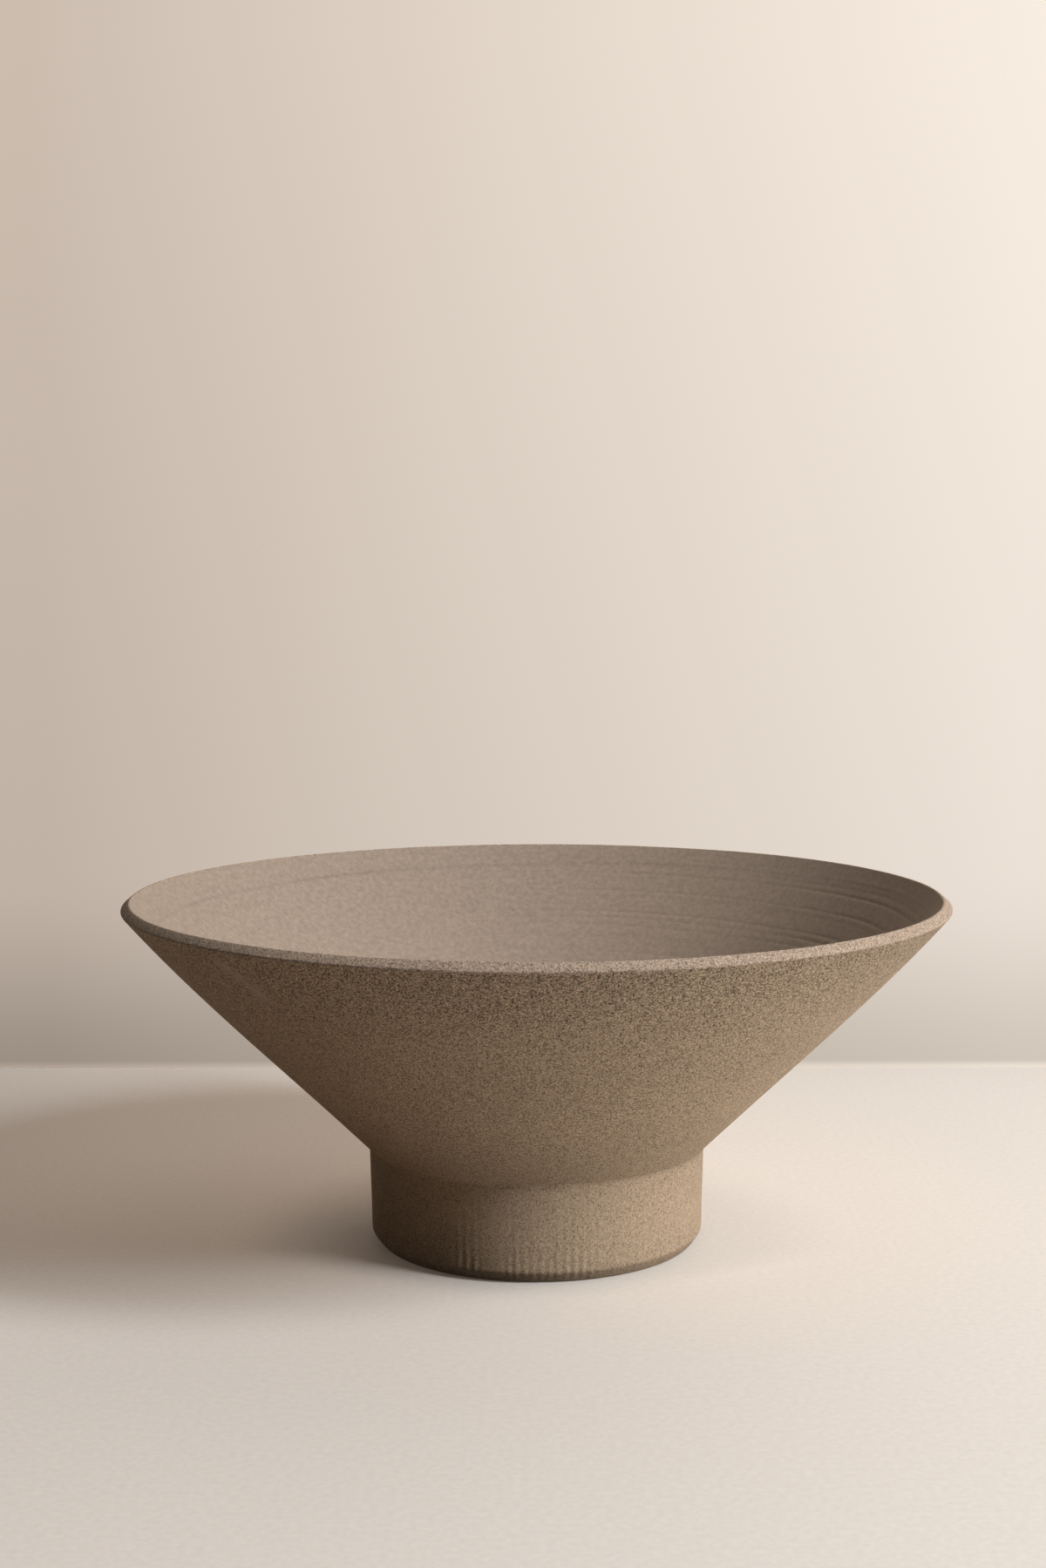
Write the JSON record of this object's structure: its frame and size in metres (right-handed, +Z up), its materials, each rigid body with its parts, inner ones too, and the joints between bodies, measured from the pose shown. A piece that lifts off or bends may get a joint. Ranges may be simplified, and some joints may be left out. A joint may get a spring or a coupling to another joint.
{
  "type": "bowl",
  "caption": "Wide tapered stoneware serving bowl: a straight-flared cone with a square-cut rim on a tall hollow foot ring, luted with slip.",
  "frame": {"origin": "centre of the ring on which the foot stands, at table height", "axes": "+Z up along the wheel's axis, which is the bowl's axis of revolution; X and Y are any two level directions, with -Y towards the viewer of the picture"},
  "size_m": [0.2994, 0.2994, 0.1275],
  "materials": {
    "stoneware": "matte",
    "slip": "matte"
  },
  "bodies": {
    "root": {"bowl": "stoneware", "foot_ring": "stoneware", "slip_joint": "slip"}
  },
  "joints": []
}
